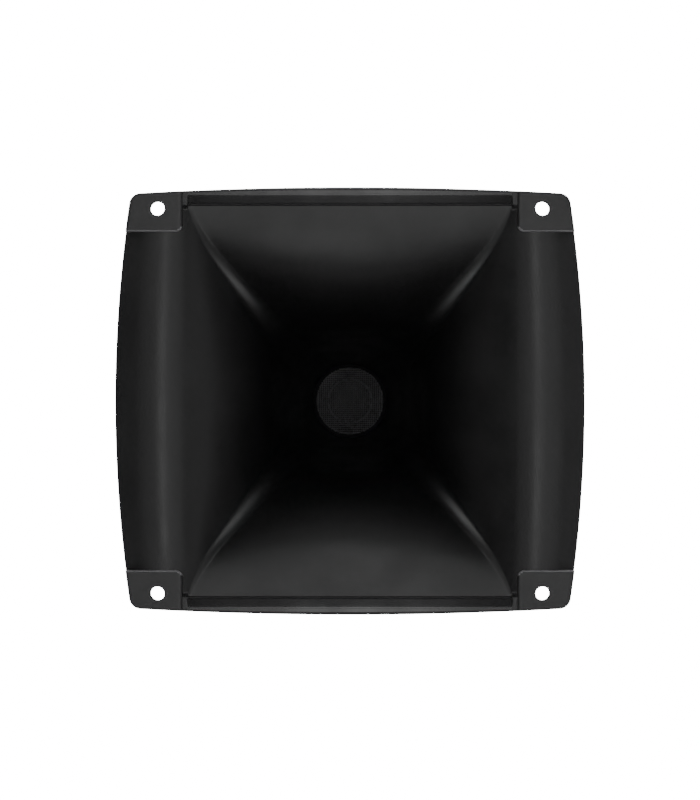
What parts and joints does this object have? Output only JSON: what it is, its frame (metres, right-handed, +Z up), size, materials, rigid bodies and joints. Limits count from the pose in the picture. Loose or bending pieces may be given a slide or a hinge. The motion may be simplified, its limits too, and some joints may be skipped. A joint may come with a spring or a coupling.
{
  "type": "horn and compression driver",
  "caption": "Square-mouthed black high-frequency horn with rolled side cheeks and a screened round throat, bolted to a compression driver with push terminals.",
  "frame": {"origin": "centre of the four mounting holes, on the rear face of the mouth flange", "axes": "+Z up, -Y along the horn's axis out of the mouth, +X to the right seen from the front"},
  "size_m": [0.2328, 0.2336, 0.2116],
  "materials": {
    "horn_plastic": "fine moulded grain, satin black",
    "gasket_paper": "thin fibre and rubber sheet",
    "screen_wire": "black coated woven wire",
    "steel_black": "black zinc plate",
    "steel_zinc": "bright zinc plate",
    "steel_screw": "black oxide steel",
    "ferrite": "ground grey ferrite",
    "plug_plastic": "moulded, dark grey",
    "dome_metal": "bare titanium foil",
    "surround_film": "amber polymer film",
    "former_film": "amber polymer film",
    "copper": "enamelled copper-clad winding",
    "ring_aluminium": "machined",
    "brass": "plated brass",
    "wire_red": "insulated lead",
    "wire_black": "insulated lead",
    "cap_plastic": "moulded, textured black",
    "gasket_foam": "open-cell foam",
    "block_plastic": "moulded black",
    "button_red": "moulded red",
    "button_black": "moulded black",
    "spring_steel": "drawn spring wire"
  },
  "bodies": {
    "housing": {"horn_flare": "horn_plastic", "throat_gasket": "gasket_paper", "throat_screen": "screen_wire", "screen_ring": "steel_black", "driver_bolts": "steel_zinc", "driver_washers": "steel_zinc", "pole_plate": "steel_black", "magnet_ring": "ferrite", "top_plate": "steel_black", "phase_plug": "plug_plastic", "diaphragm_surround": "surround_film", "diaphragm_ring": "ring_aluminium", "diaphragm_screws": "steel_zinc", "locating_pins": "steel_zinc", "solder_tabs": "brass", "lead_wire_red": "wire_red", "lead_wire_black": "wire_black", "rear_cap": "cap_plastic", "cap_gasket": "gasket_foam", "cap_foam": "gasket_foam", "cap_screws": "steel_screw", "terminal_block": "block_plastic", "terminal_screws": "steel_zinc", "terminal_contacts": "brass", "terminal_spring_red": "spring_steel", "terminal_spring_black": "spring_steel"},
    "diaphragm": {"diaphragm_dome": "dome_metal", "voice_coil_former": "former_film", "voice_coil": "copper"},
    "red_button": {"terminal_button_red": "button_red"},
    "black_button": {"terminal_button_black": "button_black"}
  },
  "joints": [
    {"name": "diaphragm_travel", "type": "slide", "parent": "housing", "child": "diaphragm", "axis": [0, 1, 0], "range_m": [-0.0004, 0.0004], "stiffness_N_per_m": 2000, "deforming": ["diaphragm_surround"]},
    {"name": "red_button_press", "type": "slide", "parent": "housing", "child": "red_button", "axis": [0, -1, 0], "range_m": [0, 0.003], "stiffness_N_per_m": 300, "springref_m": -0.002, "deforming": ["terminal_spring_red"]},
    {"name": "black_button_press", "type": "slide", "parent": "housing", "child": "black_button", "axis": [0, -1, 0], "range_m": [0, 0.003], "stiffness_N_per_m": 300, "springref_m": -0.002, "deforming": ["terminal_spring_black"]}
  ]
}
